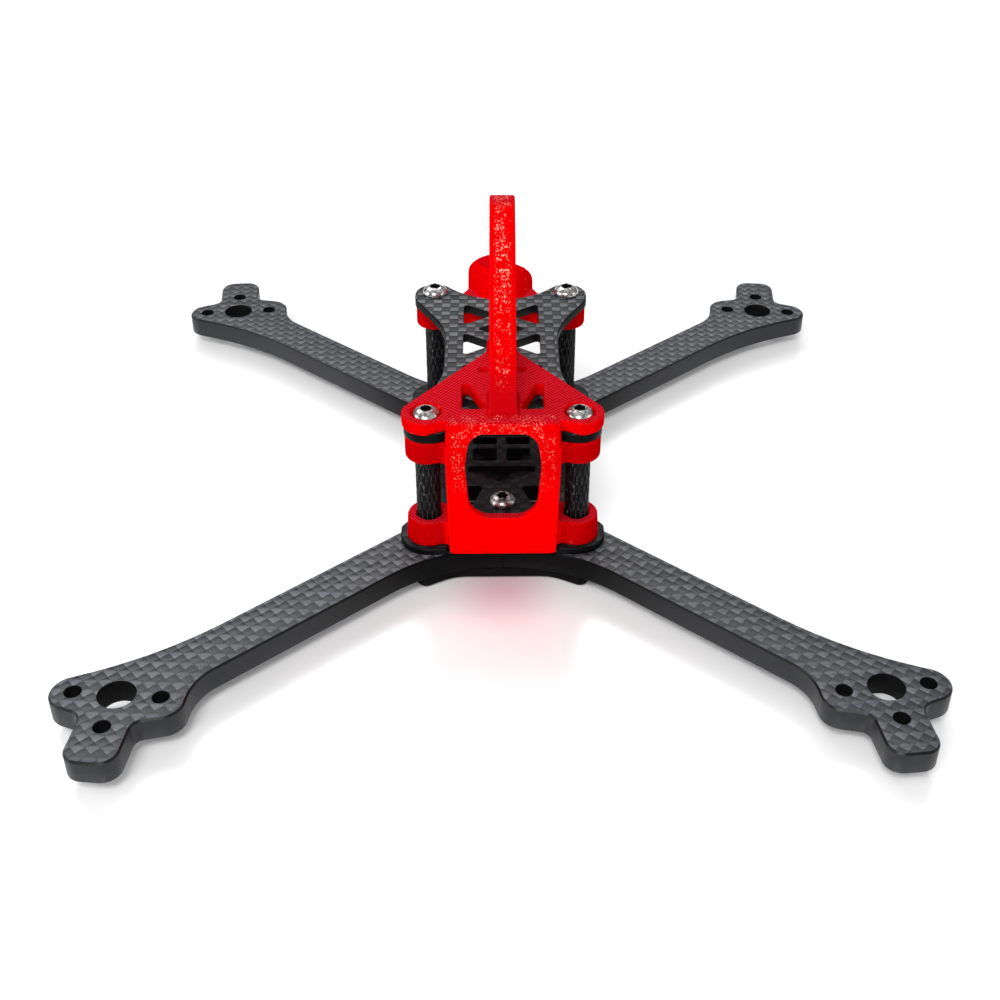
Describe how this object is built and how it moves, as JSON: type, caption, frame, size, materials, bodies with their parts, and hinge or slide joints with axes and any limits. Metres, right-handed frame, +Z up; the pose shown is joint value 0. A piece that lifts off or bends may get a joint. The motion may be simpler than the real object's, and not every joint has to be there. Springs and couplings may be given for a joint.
{
  "type": "racing drone airframe",
  "caption": "Bare quadcopter racing airframe: carbon arms clamped in a plate stack, knurled standoffs, printed camera cage with a fin and a printed antenna mount.",
  "frame": {"origin": "centre of the frame on the underside of the bottom plate", "axes": "+Z up, -Y towards the nose with the camera cage, +Y towards the antenna mount, +X to the right when seen from the nose side"},
  "size_m": [0.1632, 0.1782, 0.0733],
  "materials": {
    "carbon_laminate": "satin woven laminate",
    "printed_red": "printed in layers",
    "black_anodised": "knurled and anodised",
    "screw_steel": "polished",
    "black_steel": "black oxide"
  },
  "bodies": {
    "root": {"bottom_plate": "carbon_laminate", "front_left_arm": "carbon_laminate", "front_right_arm": "carbon_laminate", "rear_left_arm": "carbon_laminate", "rear_right_arm": "carbon_laminate", "middle_plate": "carbon_laminate", "top_plate": "carbon_laminate", "front_left_standoff": "black_anodised", "front_right_standoff": "black_anodised", "rear_left_standoff": "black_anodised", "rear_right_standoff": "black_anodised", "camera_cage": "printed_red", "antenna_mount": "printed_red", "front_deck_screws": "screw_steel", "rear_deck_screws": "screw_steel", "front_clamp_screw": "screw_steel", "rear_clamp_screw": "screw_steel", "front_clamp_nut": "screw_steel", "rear_clamp_nut": "screw_steel", "front_base_screws": "black_steel", "rear_base_screws": "black_steel"}
  },
  "joints": []
}
